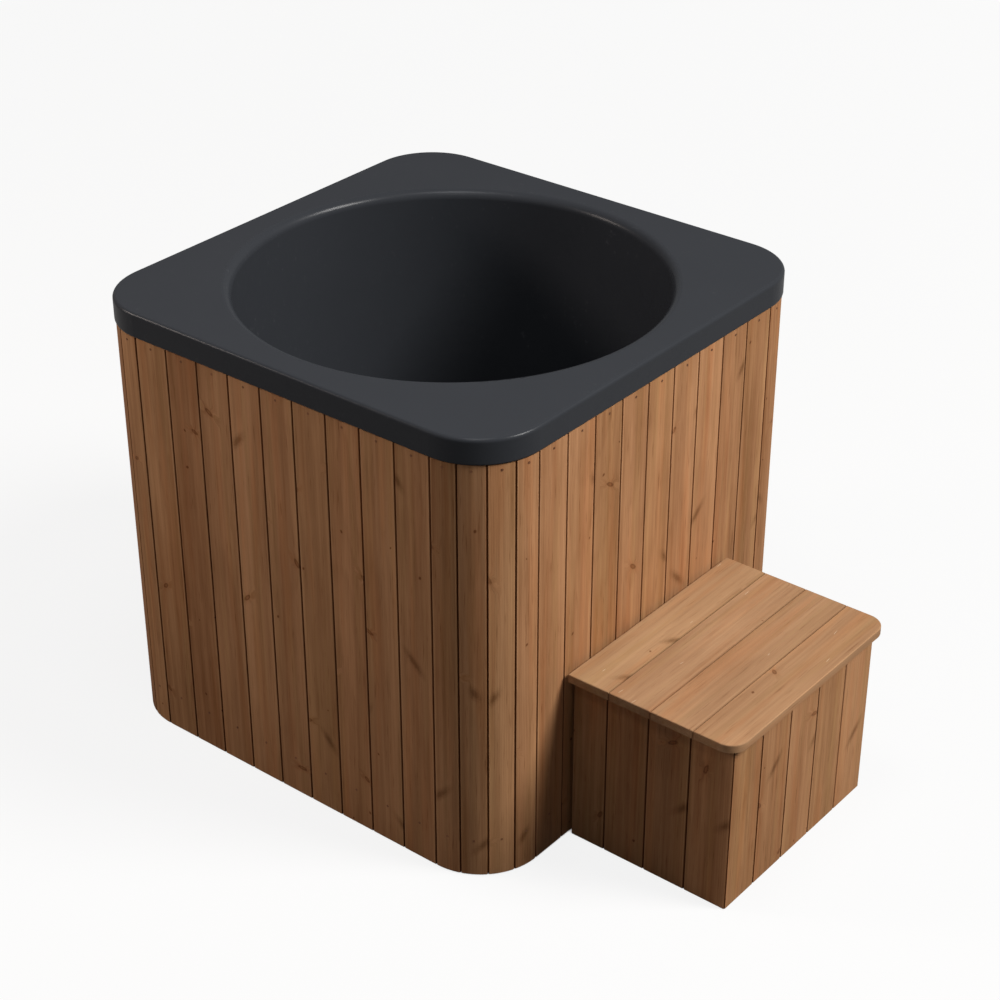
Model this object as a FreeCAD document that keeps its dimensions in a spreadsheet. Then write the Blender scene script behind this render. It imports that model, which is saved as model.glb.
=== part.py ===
# Square cold plunge tub with rounded corners and a box step beside it.
# A moulded shell with a flat deck and a round basin stands in a timber frame clad in upright boards.
# Millimetres, +Z up, origin on the floor under the middle of the tub.
# The front faces -Y, and the step stands against the right side, +X.
import FreeCAD, Part
import math
import os

import Sketcher
from FreeCAD import Placement, Rotation, Vector

SIZES = [
    ("corner_radius", 142.5, "tub's corners"),
    ("side_boards", 9, "boards on each flat side"),
    ("corner_staves", 4, "narrow boards round each corner"),
    ("board_thickness", 15, "cladding boards of tub and step"),
    ("board_foot", 3, "floor to the lower ends of the tub's boards and rails"),
    ("board_gap", 1, "open joint between two boards"),
    ("board_chamfer", 2, "bevel on each visible arris"),
    ("tongue_setback", 5.5, "board face to tongue"),
    ("tongue_thickness", 4.5, "tongue on one edge of a board"),
    ("tongue_length", 7, "tongue on one edge of a board"),
    ("tongue_clearance", 0.4, "round a tongue in its groove"),
    ("deck_height", 1000, "floor to the top of the deck"),
    ("lip_drop", 55, "depth of the deck's turned-down lip"),
    ("deck_overhang", 2, "lip beyond the boards"),
    ("shell_wall", 8, "thickness of the moulded shell"),
    ("deck_edge_radius", 8, "top edge of the deck"),
    ("lip_edge_radius", 5, "lower edge of the lip"),
    ("basin_mouth_radius", 450, "basin wall at the deck"),
    ("basin_floor_radius", 420, "basin wall at its floor"),
    ("basin_floor_fillet", 60, "between basin wall and floor"),
    ("basin_clearance", 24, "basin wall to the top rails"),
    ("rim_radius", 20, "rounding from deck to basin"),
    ("rail_thickness", 28, "top and bottom rails"),
    ("rail_height", 95, "top and bottom rails, and corner formers"),
    ("post_side", 45, "square corner posts"),
    ("bearer_width", 45, "base bearers"),
    ("bearer_height", 95, "base bearers"),
    ("bearer_spacing", 300, "middle bearer to outer bearers"),
    ("panel_thickness", 18, "base panel under the basin"),
    ("panel_clearance", 1, "base panel to rails and posts"),
    ("nail_length", 40, "cladding nails"),
    ("nail_shank_radius", 1.25, "cladding nails"),
    ("nail_head_radius", 2.6, "cladding nails"),
    ("nail_head_thickness", 1, "cladding nails"),
    ("nail_head_proud", 0.4, "head above the board's face"),
    ("nail_top_inset", 12, "upper nail below the top of its board"),
    ("nail_foot_inset", 85, "lower nail above the foot of its board"),
    ("dowel_radius", 4, "dowels between rails and formers"),
    ("dowel_length", 60, "dowels between rails and formers"),
    ("screw_length", 60, "frame screws"),
    ("bearer_screw_spacing", 38, "the two screws at each end of a bearer"),
    ("panel_screw_spacing", 300, "panel screws along each bearer"),
    ("screw_shank_radius", 2.5, "all screws"),
    ("screw_head_radius", 5, "all screws"),
    ("screw_head_height", 3, "all screws"),
    ("drain_setback", 150, "drain behind the middle of the basin"),
    ("drain_board", 2, "boards from the back's middle to the drain"),
    ("pipe_height", 50, "floor to the drain pipe's axis"),
    ("pipe_radius", 20, "outside of the drain pipe"),
    ("pipe_wall", 3, "drain pipe and drain flange"),
    ("socket_clearance", 0.1, "pipe in its sockets and plates"),
    ("socket_depth", 16, "pipe in the elbow and in the valve"),
    ("hole_clearance", 2, "pipe in the shell, rail and board"),
    ("elbow_wall", 4, "drain elbow's sockets"),
    ("elbow_bend_radius", 34, "drain elbow's axis"),
    ("flange_radius", 36, "drain flange in the basin"),
    ("flange_thickness", 4, "drain flange in the basin"),
    ("flange_bevel", 1, "drain flange's upper edge"),
    ("gasket_thickness", 2, "under the drain flange"),
    ("drain_nut_flats", 60, "drain nut, across flats"),
    ("drain_nut_height", 12, "drain nut"),
    ("nut_room", 6, "drain nut's corners to the hole in the panel"),
    ("strainer_radius", 25, "strainer in the drain flange"),
    ("strainer_thickness", 2, "strainer in the drain flange"),
    ("strainer_hole_radius", 2.2, "holes of the strainer"),
    ("strainer_hole_spacing", 7, "ring to ring of the strainer's holes"),
    ("strainer_rings", 2, "rings of holes round the middle one"),
    ("wall_plate_radius", 34, "plate round the pipe outside"),
    ("wall_plate_thickness", 3, "plate round the pipe outside"),
    ("valve_gap", 1, "wall plate to valve"),
    ("valve_half_length", 50, "valve body, middle to end"),
    ("valve_barrel_length", 60, "thick middle of the valve body"),
    ("ball_radius", 23, "valve ball"),
    ("ball_bore_radius", 15, "valve ball and the way through"),
    ("ball_clearance", 0.15, "ball to its seats"),
    ("chamber_room", 1.6, "ball to its chamber"),
    ("seat_setback", 12, "valve's middle to each seat"),
    ("seat_width", 12, "ball seats along the pipe"),
    ("seat_clearance", 0.2, "seats and hose tail in the valve's bore"),
    ("valve_wall", 8, "round the valve's chamber"),
    ("collar_wall", 2.5, "round the valve's ends"),
    ("stem_radius", 7, "valve stem in its boss"),
    ("stem_clearance", 0.05, "running fit of the stem"),
    ("stem_boss_radius", 13, "boss round the stem"),
    ("stem_boss_height", 42, "valve axis to the top of the boss"),
    ("tang_width", 8, "stem's tang in the ball's slot"),
    ("tang_length", 10, "stem's tang in the ball's slot"),
    ("tang_depth", 5, "stem's tang in the ball's slot"),
    ("tang_clearance", 0.2, "stem's tang in the ball's slot"),
    ("drive_radius", 5, "stem's end that carries the lever"),
    ("drive_flats", 7, "two flats on the stem's end"),
    ("drive_clearance", 0.1, "lever and nut on the stem's end"),
    ("lever_lift", 0.5, "boss to lever"),
    ("lever_reach", 110, "stem to the centre of the lever's round end"),
    ("lever_eye_radius", 14, "round the stem"),
    ("lever_width", 22, "lever bar"),
    ("lever_thickness", 5, "lever bar"),
    ("lever_nut_flats", 17, "lever nut, across flats"),
    ("lever_nut_height", 8, "lever nut"),
    ("stem_end", 2.5, "stem above the lever nut"),
    ("hose_radius", 16, "hose tail's spigot"),
    ("hose_length", 40, "hose tail's spigot"),
    ("hose_wall", 3, "hose tail's spigot"),
    ("hose_collar_radius", 30, "hose tail's collar against the valve"),
    ("hose_collar_width", 8, "hose tail's collar against the valve"),
    ("hose_chamfer", 1.5, "hose tail's end"),
    ("step_gap", 9, "tub's boards to the step"),
    ("step_height", 412, "floor to the top of the tread"),
    ("step_offset", -21.5, "step's middle along the tub's side"),
    ("tread_boards", 4, "boards of the tread"),
    ("tread_board_width", 98.7, "tread boards"),
    ("tread_width", 553.5, "length of the tread boards"),
    ("tread_thickness", 18, "tread boards"),
    ("tread_overhang", 19, "tread beyond the step's front"),
    ("tread_corner_radius", 40, "outer corners of the front tread board"),
    ("tread_edge_radius", 2.5, "upper edges of the tread boards"),
    ("step_front_board_width", 101.2, "cover width of the boards on the step's front"),
    ("step_front_boards", 5, "boards on the step's front"),
    ("step_side_board_width", 98.5, "cover width of the boards on the step's sides"),
    ("step_side_boards", 4, "boards on each side of the step, the rear one ripped"),
    ("step_foot", 2, "floor to the lower ends of the step's boards"),
    ("batten_thickness", 28, "battens of the step's frame"),
    ("batten_width", 45, "battens of the step's frame"),
    ("low_rail_height", 20, "floor to the step's lower rails"),
    ("board_screw_length", 38, "screws into the step's boards"),
    ("tread_screw_length", 55, "screws into the tread"),
]

SQRT_HALF = math.sqrt(0.5)
TOUCHING = 1e-4
UPRIGHT = Rotation()
DOWNWARD = Rotation(Vector(1, 0, 0), 180)
ALONG_X = Rotation(Vector(0, 1, 0), 90)
ALONG_Y = Rotation(Vector(1, 0, 0), -90)
SIDES = ("front", "right", "back", "left")
CORNERS = ("front_right", "back_right", "back_left", "front_left")


class Size:
    """A number together with the sheet expression that gives it."""

    def __init__(self, number, text):
        self.number = number
        self.text = text

    def __add__(self, other):
        other = sized(other)
        return Size(self.number + other.number, f"({self.text} + {other.text})")

    def __sub__(self, other):
        other = sized(other)
        return Size(self.number - other.number, f"({self.text} - {other.text})")

    def __mul__(self, other):
        other = sized(other)
        return Size(self.number * other.number, f"({self.text} * {other.text})")

    def __truediv__(self, other):
        other = sized(other)
        return Size(self.number / other.number, f"({self.text} / {other.text})")

    def __neg__(self):
        return Size(-self.number, f"(0 - {self.text})")


def sized(value):
    return value if isinstance(value, Size) else Size(value, repr(value))


def sine(angle):
    return Size(math.sin(math.radians(angle.number)), f"sin({angle.text})")


def cosine(angle):
    return Size(math.cos(math.radians(angle.number)), f"cos({angle.text})")


doc = FreeCAD.newDocument("cold_plunge_tub")
sheet = doc.addObject("Spreadsheet::Sheet", "Sizes")
for row, (alias, number, note) in enumerate(SIZES, start=1):
    sheet.set(f"A{row}", alias)
    sheet.set(f"B{row}", str(number))
    sheet.set(f"C{row}", note)
    sheet.setAlias(f"B{row}", alias)
doc.recompute()
size = {alias: Size(sheet.get(alias), f"Sizes.{alias}") for alias, _, _ in SIZES}

nodes = []


def keep(item, label):
    """Give a finished sub-part its name and list it for writing."""
    item.Label = label
    nodes.append(item)
    return item


def bind(item, at=None, **sizes):
    """Tie an object's sizes, and its place, to the sheet."""
    for name, value in sizes.items():
        item.setExpression(name, sized(value).text)
    for axis, value in zip("xyz", at or ()):
        item.setExpression(f"Placement.Base.{axis}", sized(value).text)
    return item


def block(name, corner, lengths):
    """A rectangular timber from its lowest corner."""
    item = doc.addObject("Part::Box", name)
    return bind(item, corner, Length=lengths[0], Width=lengths[1], Height=lengths[2])


def rod(name, radius, length, start, turn=UPRIGHT):
    """A round bar from the middle of its first end."""
    item = doc.addObject("Part::Cylinder", name)
    item.Placement = Placement(Vector(), turn)
    return bind(item, start, Radius=radius, Height=length)


def hexagon(name, flats, height, base):
    item = doc.addObject("Part::Prism", name)
    item.Polygon = 6
    return bind(item, base, Circumradius=flats / math.sqrt(3), Height=height)


def fuse(name, *shapes):
    item = doc.addObject("Part::MultiFuse", name)
    item.Shapes = list(shapes)
    item.Refine = True
    return item


def cut(name, base, tool):
    item = doc.addObject("Part::Cut", name)
    item.Base = base
    item.Tool = tool
    return item


def common(name, base, tool):
    item = doc.addObject("Part::Common", name)
    item.Base = base
    item.Tool = tool
    return item


def compound(name, *shapes):
    item = doc.addObject("Part::Compound", name)
    item.Links = list(shapes)
    return item


def new_body(name, turn=UPRIGHT, at=None):
    body = doc.addObject("PartDesign::Body", name)
    body.Placement = Placement(Vector(), turn)
    return bind(body, at)


def arc_between(here, there, radius):
    """An arc anticlockwise from one place to another."""
    chord = there - here
    swell = radius.number - math.sqrt(radius.number ** 2 - (chord.Length / 2) ** 2)
    outward = Vector(chord.y, -chord.x, 0) / chord.Length
    return Part.Arc(here, (here + there) / 2 + outward * swell, there)


def draw(body, name, plane, loops=(), circles=(), squares=(), height=0):
    """A sketch of loops, circles and rounded squares, each point tied to the sheet.

    A loop runs anticlockwise, and a radius after a point's two places makes the side that starts there
    an arc swelling outwards.
    """
    sketch = body.newObject("Sketcher::SketchObject", name)
    support = [feature for feature in body.Origin.OriginFeatures if feature.Role == plane]
    sketch.AttachmentSupport = [(support[0], "")]
    sketch.MapMode = "FlatFace"
    sketch.setExpression("AttachmentOffset.Base.z", sized(height).text)

    def pin_down(geometry, position, point):
        for kind, value in zip(("DistanceX", "DistanceY"), point):
            value = sized(value)
            rule = Sketcher.Constraint(kind, -1, 1, geometry, position, value.number)
            index = sketch.addConstraint(rule)
            sketch.setExpression(f"Constraints[{index}]", value.text)

    def fix_radius(geometry, radius):
        index = sketch.addConstraint(Sketcher.Constraint("Radius", geometry, radius.number))
        sketch.setExpression(f"Constraints[{index}]", radius.text)

    for points in loops:
        first = sketch.GeometryCount
        places = [Vector(sized(x).number, sized(y).number, 0) for x, y, *_ in points]
        for (_, _, *radius), here, there in zip(points, places, places[1:] + places[:1]):
            side = arc_between(here, there, *radius) if radius else Part.LineSegment(here, there)
            sketch.addGeometry(side)
        for step, (x, y, *radius) in enumerate(points):
            follower = first + (step + 1) % len(points)
            sketch.addConstraint(Sketcher.Constraint("Coincident", first + step, 2, follower, 1))
            pin_down(first + step, 1, (x, y))
            if radius:
                fix_radius(first + step, *radius)
    for x, y, radius in circles:
        centre = Vector(sized(x).number, sized(y).number, 0)
        ring = sketch.addGeometry(Part.Circle(centre, Vector(0, 0, 1), radius.number))
        pin_down(ring, 3, (x, y))
        fix_radius(ring, radius)
    for half, radius in squares:
        flat = half - radius
        start, end, centre = (-flat, -half), (flat, -half), (flat, -flat)
        first = sketch.GeometryCount
        for corner in range(4):
            here, there, middle = (Vector(x.number, y.number, 0) for x, y in (start, end, centre))
            circle = Part.Circle(middle, Vector(0, 0, 1), radius.number)
            from_angle = math.radians(90 * corner - 90)
            line = sketch.addGeometry(Part.LineSegment(here, there))
            arc = sketch.addGeometry(Part.ArcOfCircle(circle, from_angle, from_angle + math.pi / 2))
            pin_down(line, 1, start)
            pin_down(line, 2, end)
            sketch.addConstraint(Sketcher.Constraint("Coincident", line, 2, arc, 1))
            fix_radius(arc, radius)
            start, end, centre = ((-y, x) for x, y in (start, end, centre))
        for corner in range(4):
            following = first + 2 * ((corner + 1) % 4)
            sketch.addConstraint(Sketcher.Constraint("Coincident", first + 2 * corner + 1, 2, following, 1))
    return sketch


def pad(body, sketch, length):
    return bind(add(body, "PartDesign::Pad", Profile=sketch), Length=length)


def add(body, kind, **settings):
    feature = body.newObject(kind, kind.split("::")[1])
    for name, value in settings.items():
        setattr(feature, name, value)
    return feature


def spin(body, sketch, kind="PartDesign::Revolution"):
    """Turn a profile drawn in the XZ plane about the body's Z axis."""
    return add(body, kind, Profile=sketch, ReferenceAxis=(sketch, ["V_Axis"]), Angle=360)


def round_edges(body, radius, wanted):
    """Fillet those edges of the body's last feature that the test accepts."""
    doc.recompute()
    last = body.Tip
    names = [f"Edge{k}" for k, edge in enumerate(last.Shape.Edges, start=1) if wanted(edge)]
    return bind(add(body, "PartDesign::Fillet", Base=(last, names)), Radius=radius)


def close(one, other):
    return abs(one - other) < TOUCHING


def is_upright(edge):
    ends = [vertex.Point for vertex in edge.Vertexes]
    flat = close(ends[0].x, ends[-1].x) and close(ends[0].y, ends[-1].y)
    return flat and not close(ends[0].z, ends[-1].z)


def lies_at(edge, height):
    box = edge.BoundBox
    return close(box.ZMin, height.number) and close(box.ZMax, height.number)


def prism(name, loops, foot, length, turn=UPRIGHT, at=None, circles=()):
    """An upright prism of drawn outlines, turned into place."""
    body = new_body(name, turn, at)
    sketch = draw(body, f"{name}_outline", "XY_Plane", loops, circles, height=foot)
    pad(body, sketch, length)
    return body, sketch


def turned(name, profile, at, turn=UPRIGHT):
    """A lathe-turned piece from its half section (radius, height)."""
    body = new_body(name, turn, at)
    spin(body, draw(body, f"{name}_section", "XZ_Plane", [profile]))
    return body


def rectangle(low_x, low_y, high_x, high_y):
    return [(low_x, low_y), (high_x, low_y), (high_x, high_y), (low_x, high_y)]


def quarter_turn(count):
    return Rotation(Vector(0, 0, 1), 90 * count)


# Places shared by several pieces
rail_back = size["basin_mouth_radius"] + size["shell_wall"] + size["basin_clearance"]
board_back = rail_back + size["rail_thickness"]
board_face = board_back + size["board_thickness"]
corner_radius = size["corner_radius"]
corner_centre = board_face - corner_radius
board_width = corner_centre * 2 / size["side_boards"]
lip_foot = size["deck_height"] - size["lip_drop"]
deck_under = size["deck_height"] - size["shell_wall"]
board_length = lip_foot - size["board_foot"]
top_rail_foot = deck_under - size["rail_height"]
panel_top = size["bearer_height"] + size["panel_thickness"]
basin_floor = panel_top + size["shell_wall"]
stave_half_angle = sized(45) / size["corner_staves"]
stave_back_radius = corner_radius - size["board_thickness"] / cosine(stave_half_angle)
former_face = (corner_centre + rail_back) * SQRT_HALF
post_face = former_face - size["post_side"]
drain_x = board_width * size["drain_board"]
drain_y = size["drain_setback"]
pipe_bore = size["pipe_radius"] - size["pipe_wall"]
pipe_hole = size["pipe_radius"] + size["hole_clearance"]
socket_radius = size["pipe_radius"] + size["socket_clearance"]
valve_y = board_face + size["wall_plate_thickness"] + size["valve_gap"] + size["valve_half_length"]
upper_nail = lip_foot - size["nail_top_inset"]
lower_nail = size["board_foot"] + size["nail_foot_inset"]


def outer_edge(line, flat, corner):
    """True for an edge of the deck's outer outline: a straight side or a corner's arc."""
    middle = line.valueAt((line.FirstParameter + line.LastParameter) / 2)
    on_flat = close(max(abs(middle.x), abs(middle.y)), flat)
    on_corner = close(abs(middle.x), corner) and close(abs(middle.y), corner)
    return on_flat or on_corner


def make_shell():
    """Deck, lip and basin in one moulded piece."""
    body = new_body("tub_shell")
    wall = size["shell_wall"]
    edge = board_face + size["deck_overhang"]
    deck = draw(body, "deck", "XY_Plane", squares=[(edge, corner_radius)], height=lip_foot)
    pad(body, deck, size["lip_drop"])
    under = draw(body, "under", "XY_Plane", squares=[(edge - wall, corner_radius - wall)], height=lip_foot)
    hollow = add(body, "PartDesign::Pocket", Profile=under, Reversed=True)
    bind(hollow, Length=size["lip_drop"] - wall)
    mouth = size["basin_mouth_radius"]
    floor = size["basin_floor_radius"]
    outside = [(0, panel_top), (floor + wall, panel_top), (mouth + wall, deck_under),
               (mouth + wall, size["deck_height"]), (0, size["deck_height"])]
    spin(body, draw(body, "basin_outside", "XZ_Plane", [outside]))
    cavity = [(0, basin_floor), (floor, basin_floor), (mouth, size["deck_height"]), (0, size["deck_height"])]
    spin(body, draw(body, "basin_inside", "XZ_Plane", [cavity]), "PartDesign::Groove")
    round_edges(body, size["basin_floor_fillet"], lambda line: lies_at(line, basin_floor))
    round_edges(body, size["basin_floor_fillet"] + wall, lambda line: lies_at(line, panel_top))
    hole = draw(body, "drain_hole", "XY_Plane", circles=[(drain_x, drain_y, pipe_hole)])
    add(body, "PartDesign::Pocket", Profile=hole, Type="ThroughAll", Reversed=True)
    round_edges(body, size["rim_radius"],
                lambda line: lies_at(line, size["deck_height"]) and close(line.BoundBox.XMax, mouth.number))
    round_edges(body, size["rim_radius"] - wall,
                lambda line: lies_at(line, deck_under) and close(line.BoundBox.XMax, (mouth + wall).number))
    round_edges(body, size["deck_edge_radius"],
                lambda line: lies_at(line, size["deck_height"]) and
                max(abs(line.CenterOfMass.x), abs(line.CenterOfMass.y)) > mouth.number)
    outer = (edge - corner_radius * (1 - SQRT_HALF)).number
    round_edges(body, size["lip_edge_radius"],
                lambda line: lies_at(line, lip_foot) and outer_edge(line, edge.number, outer))
    keep(body, "tub_shell")


def make_base():
    """Bearers on the floor, and the panel that carries the basin."""
    for name, shift in (("left", -1), ("middle", 0), ("right", 1)):
        x = size["bearer_spacing"] * shift - size["bearer_width"] / 2
        lengths = (size["bearer_width"], rail_back * 2, size["bearer_height"])
        keep(block("bearer", (x, -rail_back, 0), lengths), f"base_bearer_{name}")
    edge = rail_back - size["panel_clearance"]
    trimmed = (post_face - size["panel_clearance"]) / SQRT_HALF - edge
    quarter = [(edge, -trimmed), (edge, trimmed)]
    outline = []
    for _ in range(4):
        outline += quarter
        quarter = [(-y, x) for x, y in quarter]
    nut_hole = size["drain_nut_flats"] / math.sqrt(3) + size["nut_room"]
    panel, _ = prism("panel", [outline], size["bearer_height"], size["panel_thickness"],
                     circles=[(drain_x, drain_y, nut_hole)])
    keep(panel, "base_panel")


def make_posts():
    half = size["post_side"] / 2
    for corner, name in enumerate(CORNERS):
        turn = Rotation(Vector(0, 0, 1), 90 * corner - 45)
        outline = rectangle(post_face, -half, former_face, half)
        post, _ = prism("post", [outline], 0, deck_under, turn)
        keep(post, f"corner_post_{name}")


def make_rails():
    """Rails between the corner formers, with the drain pipe's hole in the back one."""
    outline = rectangle(-corner_centre, -board_back, corner_centre, -rail_back)
    for level, foot in (("top", top_rail_foot), ("bottom", size["board_foot"])):
        for side, name in enumerate(SIDES):
            rail, _ = prism("rail", [outline], foot, size["rail_height"], quarter_turn(side))
            if (level, name) == ("bottom", "back"):
                rail = cut("bored_rail", rail, pipe_drill(rail_back, size["rail_thickness"]))
            keep(rail, f"{level}_rail_{name}")


def pipe_drill(start, length):
    return rod("drill", pipe_hole, length, (drain_x, start, size["pipe_height"]), ALONG_Y)


def make_formers():
    """Blocks that the corner staves are nailed to, at the top and bottom of each corner."""
    corner = []
    for seam in range(int(size["corner_staves"].number) + 1):
        angle = stave_half_angle * (2 * seam)
        x = corner_centre + stave_back_radius * sine(angle)
        y = -corner_centre - stave_back_radius * cosine(angle)
        corner.append((x, y))
    corner += [(rail_back, -corner_centre), (corner_centre, -rail_back)]
    loops = []
    for _ in CORNERS:
        loops.append(corner)
        corner = [(-y, x) for x, y in corner]
    body, sketch = prism("formers", loops, size["board_foot"], size["rail_height"])
    pair = add(body, "PartDesign::LinearPattern", Originals=[body.Tip], Direction=(sketch, ["N_Axis"]))
    pair.Occurrences = 2
    bind(pair, Length=top_rail_foot - size["board_foot"])
    body.Tip = pair
    keep(body, "corner_formers")


def board_section(pitch, middle, face):
    """Outline of a tongue-and-groove board seen from above, its face towards -Y."""
    half = (pitch - size["board_gap"]) / 2
    bevel = size["board_chamfer"]
    tongue, tongue_end = size["tongue_setback"], size["tongue_setback"] + size["tongue_thickness"]
    slack = size["tongue_clearance"]
    groove = size["tongue_length"] - size["board_gap"] + slack
    reach = half + size["tongue_length"]
    back = size["board_thickness"]
    points = [(bevel - half, 0), (half - bevel, 0), (half, bevel), (half, tongue), (reach, tongue),
              (reach, tongue_end), (half, tongue_end), (half, back), (-half, back),
              (-half, tongue_end + slack), (groove - half, tongue_end + slack),
              (groove - half, tongue - slack), (-half, tongue - slack), (-half, bevel)]
    return [(middle + x, face + y) for x, y in points]


def board_run(name, pitch, count, first, face, foot, length, turn=UPRIGHT, at=None):
    """Boards side by side along X, the first one's middle given."""
    section = board_section(pitch, sized(first), sized(face))
    body, sketch = prism(name, [section], foot, length, turn, at)
    row = add(body, "PartDesign::LinearPattern", Originals=[body.Tip], Direction=(sketch, ["H_Axis"]))
    body.Tip = bind(row, Length=pitch * (count - 1), Occurrences=count)
    return body


def make_side_boards():
    pitch, count = board_width, size["side_boards"]
    first = -pitch * (count - 1) / 2
    for side, name in enumerate(SIDES):
        boards = board_run("boards", pitch, count, first, -board_face, size["board_foot"], board_length,
                           quarter_turn(side))
        if name == "back":
            boards = cut("bored_boards", boards, pipe_drill(board_back, size["board_thickness"]))
        keep(boards, f"{name}_boards")


def stave_section():
    """Outline of the first corner stave about the corner's centre: round outside, its seams radial."""
    half_gap = size["board_gap"] / 2
    bevel = size["board_chamfer"]
    slack = size["tongue_clearance"]
    tongue, tongue_end = size["tongue_setback"], size["tongue_setback"] + size["tongue_thickness"]
    groove = half_gap + size["tongue_length"] - size["board_gap"] + slack
    reach = size["tongue_length"] - half_gap
    edge = (half_gap + bevel) / corner_radius * math.degrees(1)

    def at_seam(seam, radius, beside):
        angle = stave_half_angle * (2 * seam)
        x = radius * sine(angle) + beside * cosine(angle)
        y = beside * sine(angle) - radius * cosine(angle)
        return x, y

    def on_back(seam, way):
        x, y = at_seam(seam, stave_back_radius, sized(0))
        inward = half_gap / cosine(stave_half_angle) * way
        return x + inward * cosine(stave_half_angle), y + inward * sine(stave_half_angle)

    def on_arc(angle):
        return corner_radius * sine(angle), -corner_radius * cosine(angle)

    return [(*on_arc(edge), corner_radius), on_arc(stave_half_angle * 2 - edge),
            at_seam(1, corner_radius - bevel, -half_gap), at_seam(1, corner_radius - tongue, -half_gap),
            at_seam(1, corner_radius - tongue, reach), at_seam(1, corner_radius - tongue_end, reach),
            at_seam(1, corner_radius - tongue_end, -half_gap), on_back(1, -1), on_back(0, 1),
            at_seam(0, corner_radius - tongue_end - slack, half_gap),
            at_seam(0, corner_radius - tongue_end - slack, groove),
            at_seam(0, corner_radius - tongue + slack, groove),
            at_seam(0, corner_radius - tongue + slack, half_gap),
            at_seam(0, corner_radius - bevel, half_gap)]


def make_corner_staves():
    sweep = sized(90) - stave_half_angle * 2
    centre = (corner_centre, -corner_centre)
    for corner, name in enumerate(CORNERS):
        body, sketch = prism("staves", [stave_section()], size["board_foot"], board_length,
                             quarter_turn(corner), centre)
        fan = add(body, "PartDesign::PolarPattern", Originals=[body.Tip], Axis=(sketch, ["N_Axis"]))
        body.Tip = bind(fan, Angle=sweep, Occurrences=size["corner_staves"])
        keep(body, f"corner_staves_{name}")
        centre = (-centre[1], centre[0])


def facing(angle):
    """Lays an upright piece level, pointing to +Y or at an angle round from it."""
    return Rotation(Vector(0, 0, 1), angle) * ALONG_Y


def swung(place, quarters):
    """A place carried round the tub by quarter turns."""
    x, y, z = place
    for _ in range(quarters):
        x, y = -y, x
    return x, y, z


def nail(place, turn):
    """A flat-headed nail from the middle of its head."""
    shank = rod("nail_shank", size["nail_shank_radius"], size["nail_length"], place, turn)
    head = rod("nail_head", size["nail_head_radius"], size["nail_head_thickness"], place, turn)
    return fuse("nail", shank, head)


def screw(length, place, turn):
    """A countersunk screw from the middle of its head."""
    head = doc.addObject("Part::Cone", "screw_head")
    head.Placement = Placement(Vector(), turn)
    bind(head, place, Radius1=size["screw_head_radius"], Radius2=size["screw_shank_radius"],
         Height=size["screw_head_height"])
    return fuse("screw", head, rod("screw_shank", size["screw_shank_radius"], length, place, turn))


def make_cladding_nails():
    """One nail near the top and one near the foot of each board and stave."""
    count = int(size["side_boards"].number)
    staves = int(size["corner_staves"].number)
    face = board_face + size["nail_head_proud"]
    stave_face = corner_radius + size["nail_head_proud"]
    places = []
    for board in range(count):
        places.append((board_width * (board - (count - 1) / 2), -face, sized(0)))
    for stave in range(staves):
        angle = stave_half_angle * (2 * stave + 1)
        x = corner_centre + stave_face * sine(angle)
        y = -corner_centre - stave_face * cosine(angle)
        places.append((x, y, angle))
    nails = []
    for quarters in range(4):
        for x, y, angle in places:
            for height in (upper_nail, lower_nail):
                place = swung((x, y, height), quarters)
                nails.append(nail(place, facing(90 * quarters + angle.number)))
    keep(compound("nails", *nails), "cladding_nails")


def make_frame_fasteners():
    """Screws of posts, bearers and panel, and the dowels between rails and formers."""
    screws, dowels = [], []
    length = size["screw_length"]
    low = size["board_foot"] + size["rail_height"] / 2
    high = top_rail_foot + size["rail_height"] / 2
    post_middle = post_face * SQRT_HALF
    rail_middle = (board_back + rail_back) / 2
    start = corner_centre - size["dowel_length"] / 2
    for quarters in range(4):
        for height in (low, high):
            place = swung((post_middle, -post_middle, height), quarters)
            screws.append(screw(length, place, facing(90 * quarters - 135)))
            for way in (-1, 1):
                place = swung((start * way, -rail_middle, height), quarters)
                turn = facing(90 * (quarters - way))
                dowels.append(rod("dowel", size["dowel_radius"], size["dowel_length"], place, turn))
    bearer_middle = (size["board_foot"] + size["bearer_height"]) / 2
    for shift in (-1, 0, 1):
        x = size["bearer_spacing"] * shift
        for way in (-1, 1):
            height = bearer_middle + size["bearer_screw_spacing"] / 2 * way
            screws.append(screw(length, (x, -board_back, height), facing(0)))
            screws.append(screw(length, (x, board_back, height), facing(180)))
        for row in (-1, 0, 1):
            screws.append(screw(length, (x, size["panel_screw_spacing"] * row, panel_top), DOWNWARD))
    keep(compound("screws", *screws), "frame_screws")
    keep(compound("dowels", *dowels), "rail_dowels")


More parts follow.
